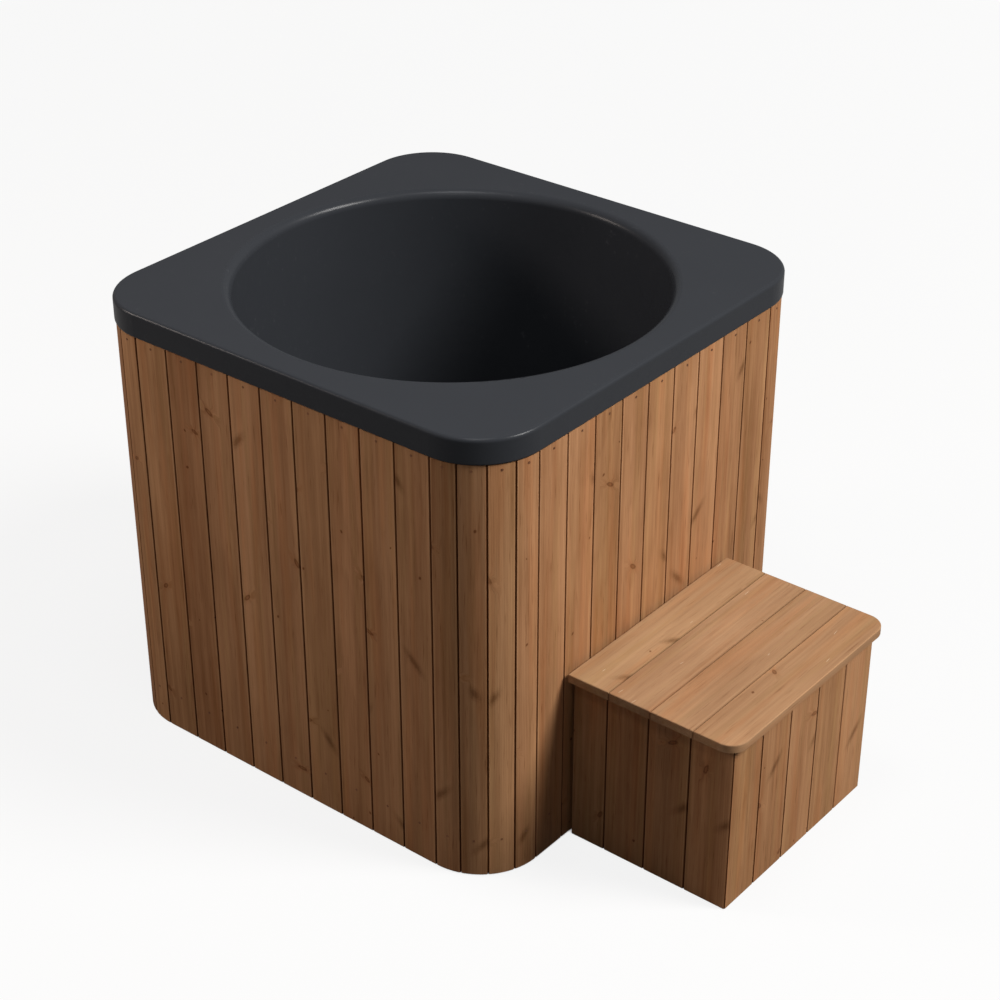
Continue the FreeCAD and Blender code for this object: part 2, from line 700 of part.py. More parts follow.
def make_drain():
    """Outlet in the basin's floor, and the pipe under the panel to the back."""
    shoulder = size["pipe_height"] + size["elbow_bend_radius"]
    seat = basin_floor + size["gasket_thickness"]
    top = seat + size["flange_thickness"]
    recess = top - size["strainer_thickness"]
    outside = size["flange_radius"]
    bevel = size["flange_bevel"]
    flange = [(pipe_bore, shoulder), (size["pipe_radius"], shoulder), (size["pipe_radius"], seat),
              (outside, seat), (outside, top - bevel), (outside - bevel, top),
              (size["strainer_radius"], top), (size["strainer_radius"], recess), (pipe_bore, recess)]
    keep(turned("flange", flange, (drain_x, drain_y, 0)), "drain_flange")
    ring = rectangle(pipe_hole, basin_floor, outside - size["hole_clearance"], seat)
    keep(turned("gasket", ring, (drain_x, drain_y, 0)), "drain_gasket")
    foot = panel_top - size["drain_nut_height"]
    place = (drain_x, drain_y, foot)
    blank = hexagon("nut_blank", size["drain_nut_flats"], size["drain_nut_height"], place)
    tap = rod("nut_tap", socket_radius, size["drain_nut_height"], place)
    keep(cut("nut", blank, tap), "drain_nut")
    disc = size["strainer_radius"] - size["socket_clearance"]
    holes = [(0, 0, size["strainer_hole_radius"])]
    for ring_number in range(1, int(size["strainer_rings"].number) + 1):
        for hole in range(6 * ring_number):
            angle = 60 * hole / ring_number
            reach = size["strainer_hole_spacing"] * ring_number
            holes.append((reach * math.cos(math.radians(angle)), reach * math.sin(math.radians(angle)),
                          size["strainer_hole_radius"]))
    strainer, _ = prism("strainer", [], recess, size["strainer_thickness"], at=(drain_x, drain_y, 0),
                        circles=[(0, 0, disc)] + holes)
    keep(strainer, "drain_strainer")
    make_elbow(shoulder)
    start = drain_y + size["elbow_bend_radius"]
    length = valve_y - size["valve_half_length"] + size["socket_depth"] - start
    tube = rod("pipe_outside", size["pipe_radius"], length, (drain_x, start, size["pipe_height"]), ALONG_Y)
    bore = rod("pipe_inside", pipe_bore, length, (drain_x, start, size["pipe_height"]), ALONG_Y)
    keep(cut("pipe", tube, bore), "drain_pipe")
    place = (drain_x, board_face, size["pipe_height"])
    plate = rod("plate_blank", size["wall_plate_radius"], size["wall_plate_thickness"], place, ALONG_Y)
    hole = rod("plate_hole", socket_radius, size["wall_plate_thickness"], place, ALONG_Y)
    keep(cut("plate", plate, hole), "wall_plate")


def make_elbow(shoulder):
    """Quarter bend from the outlet, straight down, to the pipe, straight back."""
    bend, depth = size["elbow_bend_radius"], size["socket_depth"]
    shell, inner = size["pipe_radius"] + size["elbow_wall"], pipe_bore
    facing = Rotation(Vector(0, -1, 0), Vector(0, 0, -1), Vector(1, 0, 0), "XYZ")

    def quarter_bend(name, radius):
        item = doc.addObject("Part::Torus", name)
        item.Angle3 = 90
        item.Placement = Placement(Vector(), facing)
        return bind(item, (drain_x, drain_y + bend, shoulder), Radius1=bend, Radius2=radius)

    upper = (drain_x, drain_y, shoulder)
    lower = (drain_x, drain_y + bend, size["pipe_height"])
    outside = fuse("elbow_outside", quarter_bend("elbow_bend", shell),
                   rod("elbow_upper", shell, depth, upper),
                   rod("elbow_lower", shell, depth, lower, ALONG_Y))
    inside = fuse("elbow_inside", quarter_bend("elbow_bore", inner),
                  rod("elbow_upper_socket", socket_radius, depth, upper),
                  rod("elbow_lower_socket", socket_radius, depth, lower, ALONG_Y))
    keep(cut("elbow", outside, inside), "drain_elbow")


# Drain valve, its axis along the pipe and its stem upright
valve_middle = (drain_x, valve_y, size["pipe_height"])
chamber_radius = size["ball_radius"] + size["chamber_room"]
chamber_half = size["seat_setback"] + size["seat_width"]
plug_radius = chamber_radius - size["seat_clearance"]


def valve_rod(name, radius, start, end):
    """A bar on the valve's axis between two places measured from its middle."""
    return rod(name, radius, end - start, (drain_x, valve_y + start, size["pipe_height"]), ALONG_Y)


def stem_rod(name, radius, low, high):
    """An upright bar on the stem's axis between two heights above the valve's middle."""
    return rod(name, radius, high - low, (drain_x, valve_y, size["pipe_height"] + low))


def stem_block(name, along, across, low, high):
    """An upright rectangular bar centred on the stem's axis."""
    corner = (drain_x - along / 2, valve_y - across / 2, size["pipe_height"] + low)
    return block(name, corner, (along, across, high - low))


def make_valve_body():
    half = size["valve_half_length"]
    barrel = chamber_radius + size["valve_wall"]
    collar = chamber_radius + size["collar_wall"]
    thick = size["valve_barrel_length"] / 2
    outside = fuse("valve_outside", valve_rod("barrel", barrel, -thick, thick),
                   valve_rod("collars", collar, -half, half),
                   stem_rod("boss", size["stem_boss_radius"], sized(0), size["stem_boss_height"]))
    inside = fuse("valve_inside", valve_rod("chamber", chamber_radius, -chamber_half, half),
                  valve_rod("inlet", size["ball_bore_radius"], -half, sized(0)),
                  valve_rod("inlet_socket", socket_radius, -half, size["socket_depth"] - half),
                  stem_rod("stem_hole", size["stem_radius"] + size["stem_clearance"], sized(0),
                           size["stem_boss_height"]))
    keep(cut("valve", outside, inside), "valve_body")
    seats = []
    for name, low in (("inner", -chamber_half), ("outer", size["seat_setback"])):
        ring = cut(f"{name}_ring", valve_rod(f"{name}_blank", plug_radius, low, low + size["seat_width"]),
                   valve_rod(f"{name}_bore", size["ball_bore_radius"], low, low + size["seat_width"]))
        ball = doc.addObject("Part::Sphere", f"{name}_hollow")
        bind(ball, valve_middle, Radius=size["ball_radius"] + size["ball_clearance"])
        seats.append(cut(f"{name}_seat", ring, ball))
    keep(compound("seats", *seats), "ball_seats")
    spigot_start = half + size["hose_collar_width"]
    spigot_end = spigot_start + size["hose_length"]
    radius, chamfer = size["hose_radius"], size["hose_chamfer"]
    bore = radius - size["hose_wall"]
    tail = [(bore, chamber_half), (plug_radius, chamber_half), (plug_radius, half),
            (size["hose_collar_radius"], half), (size["hose_collar_radius"], spigot_start),
            (radius, spigot_start), (radius, spigot_end - chamfer), (radius - chamfer, spigot_end),
            (bore, spigot_end)]
    keep(turned("tail", tail, valve_middle, ALONG_Y), "hose_tail")


def make_valve_movers():
    """Ball, stem, lever and nut, at rest with the valve shut and the lever square to the pipe."""
    ball_radius = size["ball_radius"]
    gap = size["tang_clearance"]
    stem_foot = ball_radius + gap
    tang_foot = stem_foot - size["tang_depth"]
    ball = doc.addObject("Part::Sphere", "ball_blank")
    bind(ball, valve_middle, Radius=ball_radius)
    start = (drain_x - ball_radius, valve_y, size["pipe_height"])
    way = rod("ball_way", size["ball_bore_radius"], ball_radius * 2, start, ALONG_X)
    slot = stem_block("ball_slot", ball_radius * 2, size["tang_width"] + gap * 2, tang_foot - gap, stem_foot)
    keep(cut("ball", ball, fuse("ball_cuts", way, slot)), "valve_ball")

    seat = size["stem_boss_height"] + size["lever_lift"]
    nut_foot = seat + size["lever_thickness"]
    nut_top = nut_foot + size["lever_nut_height"]
    stem_top = nut_top + size["stem_end"]
    across = size["drive_radius"] * 2
    drive = common("stem_drive", stem_rod("drive_round", size["drive_radius"], seat, stem_top),
                   stem_block("drive_flats", across, size["drive_flats"], seat, stem_top))
    tang = stem_block("tang", size["tang_length"], size["tang_width"], tang_foot, stem_foot)
    shaft = stem_rod("stem_round", size["stem_radius"], stem_foot, seat)
    keep(fuse("stem", shaft, tang, drive), "valve_stem")

    slack = size["drive_clearance"]
    width, reach = size["lever_width"], size["lever_reach"]
    height = size["pipe_height"] + seat
    bar = block("lever_bar", (drain_x, valve_y - width / 2, height), (reach, width, size["lever_thickness"]))
    end = rod("lever_end", width / 2, size["lever_thickness"], (drain_x + reach, valve_y, height))
    eye = stem_rod("lever_eye", size["lever_eye_radius"], seat, nut_foot)
    socket = common("lever_socket", stem_rod("socket_round", size["drive_radius"] + slack, seat, nut_foot),
                    stem_block("socket_flats", across + slack * 2, size["drive_flats"] + slack * 2,
                               seat, nut_foot))
    keep(cut("lever", fuse("lever_blank", bar, end, eye), socket), "valve_lever")
    place = (drain_x, valve_y, size["pipe_height"] + nut_foot)
    blank = hexagon("lever_nut_blank", size["lever_nut_flats"], size["lever_nut_height"], place)
    keep(cut("lever_nut", blank, stem_rod("lever_nut_tap", size["drive_radius"] + slack, nut_foot, nut_top)),
         "lever_nut")


# Step, its back towards the tub's right side
step_back = board_face + size["step_gap"]
tread_front = step_back + size["tread_board_width"] * size["tread_boards"]
step_front = tread_front - size["tread_overhang"]
step_half = size["step_front_board_width"] * size["step_front_boards"] / 2
step_middle = size["step_offset"]
tread_foot = size["step_height"] - size["tread_thickness"]
step_board_length = tread_foot - size["step_foot"]
step_inside = step_front - size["board_thickness"]
rail_face = step_half - size["board_thickness"]
rail_inner = rail_face - size["batten_thickness"]
high_rail_foot = tread_foot - size["batten_width"]


def make_tread():
    half = size["tread_width"] / 2
    gap = size["board_gap"] / 2
    count = int(size["tread_boards"].number)
    for board in range(count):
        low = size["tread_board_width"] * board + gap
        high = size["tread_board_width"] * (board + 1) - gap
        body, _ = prism("tread", [rectangle(low, -half, high, half)], tread_foot, size["tread_thickness"],
                        at=(step_back, step_middle, 0))
        if board == count - 1:
            round_edges(body, size["tread_corner_radius"],
                        lambda line: is_upright(line) and close(line.Vertexes[0].X, high.number))
        round_edges(body, size["tread_edge_radius"], lambda line: lies_at(line, size["step_height"]))
        keep(body, f"tread_board_{board + 1}")


def make_step_boards():
    """Front and sides of the step, mitred where they meet at its front corners."""
    thick = size["board_thickness"]
    gap = size["board_gap"] / 2
    foot, length = size["step_foot"], step_board_length

    def panel(label, pitch, count, first, outline, turn, at):
        boards = board_run("step_boards", pitch, count, first, 0, foot, length, turn, at)
        limit, _ = prism("step_limit", [outline], foot, length, turn, at)
        keep(common("step_panel", boards, limit), label)

    edge = step_half - gap
    pitch = size["step_front_board_width"]
    panel("step_front_boards", pitch, size["step_front_boards"], pitch / 2 - step_half,
          [(-edge, 0), (edge, 0), (edge - thick, thick), (thick - edge, thick)],
          quarter_turn(1), (step_front, step_middle, 0))
    depth = step_front - step_back
    pitch, count = size["step_side_board_width"], size["step_side_boards"]
    panel("step_left_boards", pitch, count, pitch / 2 - pitch * count,
          [(-depth, 0), (-gap, 0), (-gap - thick, thick), (-depth, thick)],
          UPRIGHT, (step_front, step_middle - step_half, 0))
    panel("step_right_boards", pitch, count, pitch / 2,
          [(gap, 0), (depth, 0), (depth, thick), (gap + thick, thick)],
          quarter_turn(2), (step_front, step_middle + step_half, 0))


def make_step_frame():
    """Battens inside the step: posts, rails along the sides and across the front and back."""
    thick, width = size["batten_thickness"], size["batten_width"]
    back_post_end = step_back + width
    front_post_start = step_inside - width
    span = rail_inner * 2
    for name, y in (("left", step_middle - rail_face), ("right", step_middle + rail_inner)):
        for place, x in (("front", front_post_start), ("back", step_back)):
            keep(block("step_post", (x, y, 0), (width, thick, high_rail_foot)), f"step_post_{place}_{name}")
        upper = block("upper", (step_back, y, high_rail_foot), (step_inside - step_back, thick, width))
        lower = block("lower", (back_post_end, y, size["low_rail_height"]),
                      (front_post_start - back_post_end, thick, width))
        keep(compound("step_rails", upper, lower), f"step_{name}_rails")
    y = step_middle - rail_inner
    x = step_inside - thick
    upper = block("front_upper", (x, y, high_rail_foot), (thick, span, width))
    lower = block("front_lower", (x, y, size["low_rail_height"]), (thick, span, width))
    keep(compound("front_rails", upper, lower), "step_front_rails")
    keep(block("back_rail", (step_back, y, high_rail_foot), (thick, span, width)), "step_back_rail")


def make_step_screws():
    """Screws from inside: through rails and posts into the boards, and up into the tread."""
    length = size["board_screw_length"]
    reach = rail_inner - size["screw_head_radius"]
    board_screws, tread_screws = [], []
    for rail_foot in (high_rail_foot, size["low_rail_height"]):
        height = rail_foot + size["batten_width"] / 2
        for board in range(int(size["step_front_boards"].number)):
            y = size["step_front_board_width"] * (board + 0.5) - step_half
            if abs(y.number) < reach.number:
                place = (step_inside - size["batten_thickness"], step_middle + y, height)
                board_screws.append(screw(length, place, facing(-90)))
        for board in range(int(size["step_side_boards"].number)):
            x = step_front - size["step_side_board_width"] * (board + 0.5)
            board_screws.append(screw(length, (x, step_middle - rail_inner, height), facing(180)))
            board_screws.append(screw(length, (x, step_middle + rail_inner, height), facing(0)))
    side = (rail_face + rail_inner) / 2
    for board in range(int(size["tread_boards"].number)):
        x = step_back + size["tread_board_width"] * (board + 0.5)
        for way in (-1, 1):
            place = (x, step_middle + side * way, high_rail_foot)
            tread_screws.append(screw(size["tread_screw_length"], place, UPRIGHT))
    keep(compound("board_screws", *board_screws), "step_board_screws")
    keep(compound("upward_screws", *tread_screws), "tread_screws")


def check_model():
    """Stop unless every object built and every sub-part is a valid shape."""
    doc.recompute()
    for item in doc.Objects:
        if "Invalid" in item.State or "Error" in item.State:
            raise RuntimeError(f"{item.Label} failed to build: {item.State}")
    labels = [item.Label for item in nodes]
    if len(set(labels)) != len(labels):
        raise RuntimeError("two sub-parts share a name")
    for item in nodes:
        if item.Shape.isNull() or not item.Shape.isValid() or not item.Shape.Solids:
            raise RuntimeError(f"{item.Label} is not a valid solid")


def write_parts():
    os.makedirs("parts", exist_ok=True)
    for item in nodes:
        item.Shape.exportStep(f"parts/{item.Label}.step")
        print(f"{item.Label}: {len(item.Shape.Solids)} solids, {item.Shape.Volume / 1000:.1f} cm3")


make_shell()
make_base()
make_posts()
make_rails()
make_formers()
make_side_boards()
make_corner_staves()
make_drain()
make_valve_body()
make_valve_movers()
make_tread()
make_step_boards()
make_step_frame()
make_cladding_nails()
make_frame_fasteners()
make_step_screws()
check_model()
write_parts()
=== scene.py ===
import math

import bpy
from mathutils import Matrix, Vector


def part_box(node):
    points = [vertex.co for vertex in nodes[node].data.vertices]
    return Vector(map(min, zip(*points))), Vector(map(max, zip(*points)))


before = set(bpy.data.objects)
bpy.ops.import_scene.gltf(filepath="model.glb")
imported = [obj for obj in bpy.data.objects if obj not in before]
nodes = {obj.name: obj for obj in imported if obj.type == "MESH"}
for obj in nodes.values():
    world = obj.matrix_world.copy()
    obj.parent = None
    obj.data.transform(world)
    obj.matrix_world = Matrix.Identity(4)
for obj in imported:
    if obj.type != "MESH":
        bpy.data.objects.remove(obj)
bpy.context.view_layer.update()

# Names, counts and sizes of the boards, in metres
SIDES = ("front", "right", "back", "left")
CORNERS = ("front_right", "back_right", "back_left", "front_left")
BOARD_WIDTH = 0.085
BOARDS_A_SIDE = 9
BOARD_GAP = 0.001
STAVES_A_CORNER = 4
STEP_SIDE_BOARD = 0.0985
STEP_FRONT_BOARDS = 5
TREAD_BOARDS = 4

# Places of the boards, from the frame
flat_half = BOARD_WIDTH * BOARDS_A_SIDE / 2
stave_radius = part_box("front_boards")[0].y * -1 - flat_half
step_low, step_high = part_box("step_front_boards")
step_middle = (step_low.y + step_high.y) / 2
step_half = (step_high.y - step_low.y + BOARD_GAP) / 2


class Tree:
    """Adds shader nodes and wires them; a plain value stays on the socket, and a socket is linked."""

    def __init__(self, node_tree):
        self.tree = node_tree

    def add(self, kind, settings=None, **inputs):
        node = self.tree.nodes.new(kind)
        for name, value in (settings or {}).items():
            setattr(node, name, value)
        for name, value in inputs.items():
            self.put(node.inputs[name], value)
        return node

    def put(self, socket, value):
        if isinstance(value, bpy.types.NodeSocket):
            self.tree.links.new(value, socket)
        else:
            socket.default_value = value

    def math(self, operation, *values, clamp=False):
        node = self.add("ShaderNodeMath", {"operation": operation, "use_clamp": clamp})
        for socket, value in zip(node.inputs, values):
            self.put(socket, value)
        return node.outputs[0]

    def product(self, first, *others):
        for value in others:
            first = self.math("MULTIPLY", first, value)
        return first

    def total(self, first, *others):
        for value in others:
            first = self.math("ADD", first, value)
        return first

    def weigh(self, *pairs):
        """The sum of values, each times its weight."""
        return self.total(*[self.product(value, weight) for value, weight in pairs])

    def span(self, share, low, high):
        """A share from 0 to 1 as a number from low to high."""
        return self.math("MULTIPLY_ADD", share, high - low, low)

    def vector(self, operation, *values):
        node = self.add("ShaderNodeVectorMath", {"operation": operation})
        for socket, value in zip(node.inputs, values):
            self.put(socket, value)
        return node.outputs["Value" if operation == "LENGTH" else "Vector"]

    def split(self, vector):
        return self.add("ShaderNodeSeparateXYZ", Vector=vector).outputs

    def join(self, x=0.0, y=0.0, z=0.0):
        return self.add("ShaderNodeCombineXYZ", X=x, Y=y, Z=z).outputs[0]

    def turn(self, vector, angle):
        """A vector turned about Z."""
        node = self.add("ShaderNodeVectorRotate", {"rotation_type": "Z_AXIS"}, Vector=vector, Angle=angle)
        return node.outputs[0]

    def fade(self, value, start, end, low=0.0, high=1.0):
        """Smooth step from low to high as a value goes from start to end."""
        node = self.add("ShaderNodeMapRange", {"interpolation_type": "SMOOTHSTEP"})
        for name, number in (("Value", value), ("From Min", start), ("From Max", end),
                             ("To Min", low), ("To Max", high)):
            self.put(node.inputs[name], number)
        return node.outputs[0]

    def noise(self, vector, scale=1.0, detail=2.0, rough=0.5):
        node = self.add("ShaderNodeTexNoise", Vector=vector, Scale=scale, Detail=detail, Roughness=rough)
        return node.outputs[0]

    def blend(self, factor, one, other, mode="MIX"):
        """Two colours mixed; the colours are inputs 6 and 7 and output 2 of the Mix node."""
        node = self.add("ShaderNodeMix", {"data_type": "RGBA", "blend_type": mode, "clamp_factor": True})
        self.put(node.inputs[0], factor)
        self.put(node.inputs[6], one)
        self.put(node.inputs[7], other)
        return node.outputs[2]

    def mix(self, factor, one, other):
        """Two shaders mixed."""
        node = self.add("ShaderNodeMixShader", Fac=factor)
        self.put(node.inputs[1], one.outputs[0])
        self.put(node.inputs[2], other.outputs[0])
        return node

    def channels(self, colour):
        return list(self.add("ShaderNodeSeparateColor", Color=colour).outputs)

    def random(self, number):
        """Three steady random values from one number."""
        node = self.add("ShaderNodeTexWhiteNoise", {"noise_dimensions": "1D"}, W=number)
        return self.channels(node.outputs["Color"])

    def cells(self, vector):
        settings = {"voronoi_dimensions": "2D", "feature": "F1"}
        return self.add("ShaderNodeTexVoronoi", settings, Vector=vector, Scale=1.0, Randomness=0.9).outputs

    def places(self):
        return self.add("ShaderNodeTexCoord").outputs["Object"]

    def relief(self, shader, height, strength, distance):
        bump = self.add("ShaderNodeBump", Strength=strength, Distance=distance, Height=height)
        self.put(shader.inputs["Normal"], bump.outputs[0])


def bare_tree(owner):
    """The emptied node tree of a material or a world."""
    owner.use_nodes = True
    owner.node_tree.nodes.clear()
    return Tree(owner.node_tree)


def new_material(name):
    material = bpy.data.materials.new(name)
    tree = bare_tree(material)
    shader = tree.add("ShaderNodeBsdfPrincipled")
    tree.add("ShaderNodeOutputMaterial", Surface=shader.outputs[0])
    return material, tree, shader


def rgb(red, green, blue):
    """A colour given as it shows on screen, 0 to 255, by the sRGB curve."""
    def linear(level):
        level /= 255
        return level / 12.92 if level <= 0.04045 else ((level + 0.055) / 1.055) ** 2.4
    return (linear(red), linear(green), linear(blue), 1.0)


def grey(level):
    return (level, level, level, 1.0)


# Colours of the timber, light and dark, and of a scratch in it
OILED = (rgb(196, 147, 107), rgb(128, 86, 55))
TREAD = (rgb(177, 140, 106), rgb(132, 97, 70))
SAWN = (rgb(222, 188, 140), rgb(186, 142, 94))
SCRATCH_COLOUR = (0.78, 0.62, 0.46, 1.0)

# Tints that the timber's colour is multiplied by
RUDDY_TINT = (1.02, 0.90, 0.82, 1.0)
DRAB_TINT = (0.93, 0.97, 0.90, 1.0)
HALO_TINT = (0.86, 0.70, 0.58, 1.0)
SMUDGE_TINT = (0.56, 0.53, 0.48, 1.0)
HEART_TINT = (0.58, 0.46, 0.38, 1.0)
CORE_TINT = (0.50, 0.36, 0.27, 1.0)
RIM_TINT = (0.38, 0.28, 0.22, 1.0)
SPECK_TINT = (0.34, 0.21, 0.15, 1.0)
# Painted shade in the grooves between boards
GROOVE_SHADE_TINT = (0.30, 0.19, 0.12, 1.0)
END_TINT = (0.62, 0.52, 0.44, 1.0)
# Painted shade, darker towards the floor
PAINTED_LOW_SHADE_TINT = (0.80, 0.78, 0.75, 1.0)

# Marks scattered on a board, each kind in cells (across, along) of its own, counted from its own start, with
# one spot to a cell. A spot holds a mark if its chance is above the kind's. Sizes are in metres and leans in
# radians, as one number or as the least and the most.
SPECK_CELL = (0.048, 0.13)
SPECK_START = (1.3, 4.9, 0.0)
SPECK_CHANCE = 0.87
SPECK_LEAN = (-1.0, 1.0)
SPECK_WIDE = (0.0014, 0.0031)
SPECK_TALL_TO_WIDE = 1.35
KNOT_CELL = (0.095, 0.30)
KNOT_START = (0.0, 0.0, 0.0)
KNOT_CHANCE = 0.66
KNOT_LEAN = (-1.3, 1.3)
KNOT_WIDE = (0.0062, 0.0110)
KNOT_TALL = (0.0018, 0.0042)
SMUDGE_CELL = (0.16, 0.27)
SMUDGE_START = (3.7, 9.1, 0.0)
SMUDGE_CHANCE = 0.52
SMUDGE_LEAN = (0.50, 0.85)
SMUDGE_WIDE = 0.0088
SMUDGE_TALL = (0.018, 0.036)
SCRATCH_CELL = (0.040, 0.085)
SCRATCH_START = (8.2, 2.6, 0.0)
SCRATCH_CHANCE = 0.88
SCRATCH_LEAN = (-0.15, 0.15)
SCRATCH_WIDE = 0.0007
SCRATCH_TALL = (0.0030, 0.0095)

# Ragged edges of the marks: waves to the metre, and how far they move an edge, in parts of a mark's size
RAGGED_WAVES = 260.0
RAGGED = (-0.35, 0.35)

# How far the grain bends round a knot, in parts of the way from it
GRAIN_BEND = 1.5


def scatter(t, place, cell, start):
    """One random spot to each cell of a board's face: the way from it in metres, and three random draws."""
    cells = t.vector("ADD", t.vector("DIVIDE", place, (*cell, 1.0)), start)
    spots = t.cells(cells)
    away = t.vector("MULTIPLY", t.vector("SUBTRACT", cells, spots["Position"]), (*cell, 0.0))
    return away, *t.channels(spots["Color"])


def slanted_oval(t, away, lean, wide, tall, ragged):
    """Distance from an oval's middle in parts of its size; 1 is its edge."""
    parts = t.vector("DIVIDE", t.turn(away, lean), t.join(wide, tall, 1.0))
    return t.math("ADD", t.vector("LENGTH", parts), ragged)


def held(t, chance, least, amount):
    """The amount of a kind of mark at the spots that hold one, and 0 at the others."""
    return t.product(t.math("GREATER_THAN", chance, least), amount)


def make_specks(t, place, ragged, amount):
    """Dark specks, round or a little drawn out."""
    away, chance, stretch, lean = scatter(t, place, SPECK_CELL, SPECK_START)
    wide = t.span(stretch, *SPECK_WIDE)
    tall = t.product(wide, SPECK_TALL_TO_WIDE)
    oval = slanted_oval(t, away, t.span(lean, *SPECK_LEAN), wide, tall, ragged)
    return t.product(t.fade(oval, start=1.5, end=0.45), held(t, chance, SPECK_CHANCE, amount))


def make_knots(t, place, ragged, amount):
    """Knots cut slantwise: the core, dark rim and halo of each, and how far the grain bends round it."""
    away, chance, stretch, lean = scatter(t, place, KNOT_CELL, KNOT_START)
    wide = t.span(stretch, *KNOT_WIDE)
    tall = t.span(chance, *KNOT_TALL)
    oval = slanted_oval(t, away, t.span(lean, *KNOT_LEAN), wide, tall, ragged)
    present = held(t, chance, KNOT_CHANCE, amount)
    core = t.product(t.fade(oval, start=1.15, end=0.7), present)
    rim = t.product(t.fade(oval, start=0.45, end=0.95), t.fade(oval, start=1.5, end=1.0), present)
    halo = t.product(t.fade(oval, start=4.2, end=0.8), present)
    bend = t.product(t.split(away)[0], t.product(halo, GRAIN_BEND))
    return core, rim, halo, bend


def make_smudges(t, place, ragged, amount):
    """Soft smudges where a branch lies slanting just under the face, and the darker heart of each."""
    away, chance, stretch, lean = scatter(t, place, SMUDGE_CELL, SMUDGE_START)
    to_left_or_right = t.math("SIGN", t.math("SUBTRACT", lean, 0.5))
    slant = t.product(to_left_or_right, t.span(stretch, *SMUDGE_LEAN))
    oval = slanted_oval(t, away, slant, SMUDGE_WIDE, t.span(stretch, *SMUDGE_TALL), ragged)
    present = held(t, chance, SMUDGE_CHANCE, amount)
    smudge = t.product(t.fade(oval, start=1.7, end=0.2), present)
    heart = t.product(t.fade(oval, start=0.8, end=0.25), present)
    return smudge, heart


def make_scratches(t, place, ragged, amount):
    """Short pale scratches along the grain."""
    away, chance, stretch, lean = scatter(t, place, SCRATCH_CELL, SCRATCH_START)
    tall = t.span(stretch, *SCRATCH_TALL)
    oval = slanted_oval(t, away, t.span(lean, *SCRATCH_LEAN), SCRATCH_WIDE, tall, ragged)
    return t.product(t.fade(oval, start=1.3, end=0.5), held(t, chance, SCRATCH_CHANCE, amount))


def grain(t, place, across, along, detail=2.0, rough=0.5, start=None):
    """Noise drawn out along the board, with so many waves to the metre across and along it."""
    waves = t.vector("MULTIPLY", place, (across, along, across))
    if start:
        waves = t.vector("ADD", waves, start)
    return t.noise(waves, detail=detail, rough=rough)


# Growth rings, in metres: where the pith lies beside and behind a board's face, its slope to the metre, its
# drift, and the step from ring to ring
PITH_ASIDE = (-0.07, 0.07)
PITH_BEHIND = (0.014, 0.084)
PITH_SLOPE = (-0.015, 0.015)
PITH_DRIFT = (-0.015, 0.015)
RING_STEP = 0.0042

# How far the rings ripple, in parts of a step, and how sharply they darken
RING_RIPPLE = 0.9
RING_SHARPNESS = 2.2


def make_rings(t, board_place, place, bend, draws):
    """Late wood of the growth rings, on some boards as arches; three random draws set the pith's place."""
    across, along, deep = t.split(board_place)
    aside, behind, tilt = draws
    pith_across = t.math("SUBTRACT", t.total(across, bend), t.span(aside, *PITH_ASIDE))
    sloped = t.product(along, t.span(tilt, *PITH_SLOPE))
    drift = t.span(grain(t, place, across=3.0, along=1.2), *PITH_DRIFT)
    pith_deep = t.total(t.span(behind, *PITH_BEHIND), sloped, deep, drift)
    from_pith = t.vector("LENGTH", t.join(pith_across, pith_deep))
    ripple = grain(t, place, across=260.0, along=6.0, detail=3.0, rough=0.6)
    ring = t.math("FRACT", t.total(t.math("DIVIDE", from_pith, RING_STEP), t.product(ripple, RING_RIPPLE)))
    return t.product(t.math("POWER", ring, RING_SHARPNESS), t.fade(ring, start=1.0, end=0.82))


# Distances from a board's edge or end between which its painted shade and highlight, and its end grain, set
# in or die away, in metres
GROOVE_SHADE_FADE = (0.0026, 0.0012)
ARRIS_HIGHLIGHT_FROM = (0.0022, 0.0030)
ARRIS_HIGHLIGHT_TO = (0.0066, 0.0034)
END_FADE = (-0.0012, -0.0002)

# How strong the painted highlight along each arris and the end grain show
ARRIS_HIGHLIGHT_SHARE = 0.35
END_SHARE = 0.2


def edge_shading_and_end_grain(t, given, colour, streaks):
    """Painted shade in the grooves, a painted highlight along each arris, and darker end grain."""
    across, along, _ = t.split(given["Place"])
    edge = t.math("SUBTRACT", given["Half"], t.math("ABSOLUTE", across))
    # Painted shade: darker in the groove along each board's edge
    groove = t.product(t.fade(edge, *GROOVE_SHADE_FADE), given["Groove"])
    colour = t.blend(groove, colour, GROOVE_SHADE_TINT, "MULTIPLY")
    # Painted highlight: a lighter line along each arris
    arris = t.product(t.fade(edge, *ARRIS_HIGHLIGHT_FROM), t.fade(edge, *ARRIS_HIGHLIGHT_TO))
    arris_highlight = t.product(arris, given["Groove"], t.fade(streaks, start=0.35, end=0.65, low=0.25))
    colour = t.blend(t.product(arris_highlight, ARRIS_HIGHLIGHT_SHARE), colour, given["Light"])
    past_end = t.math("SUBTRACT", t.math("ABSOLUTE", along), given["End"])
    return t.blend(t.fade(past_end, *END_FADE, high=END_SHARE), colour, END_TINT, "MULTIPLY")


TIMBER_INPUTS = {"Place": "Vector", "Board": "Float", "Half": "Float", "Light": "Color", "Dark": "Color",
                 "Knots": "Float", "Groove": "Float", "End": "Float", "Scratches": "Float"}
TIMBER_OUTPUTS = {"Color": "Color", "Roughness": "Float", "Height": "Float"}

# How far apart the boards lie in the figure, in metres, and what sets a board's second draws apart
BOARD_SHIFT = (7.3, 11.9, 5.1)
SECOND_DRAW = 0.37

# The least and the most of a board's paleness and roughness, and how strong late wood and scratches show
BOARD_TONE = (0.38, 0.72)
TIMBER_ROUGHNESS = (0.48, 0.68)
LATE_SHARE = 0.2
SCRATCH_SHARE = 0.4


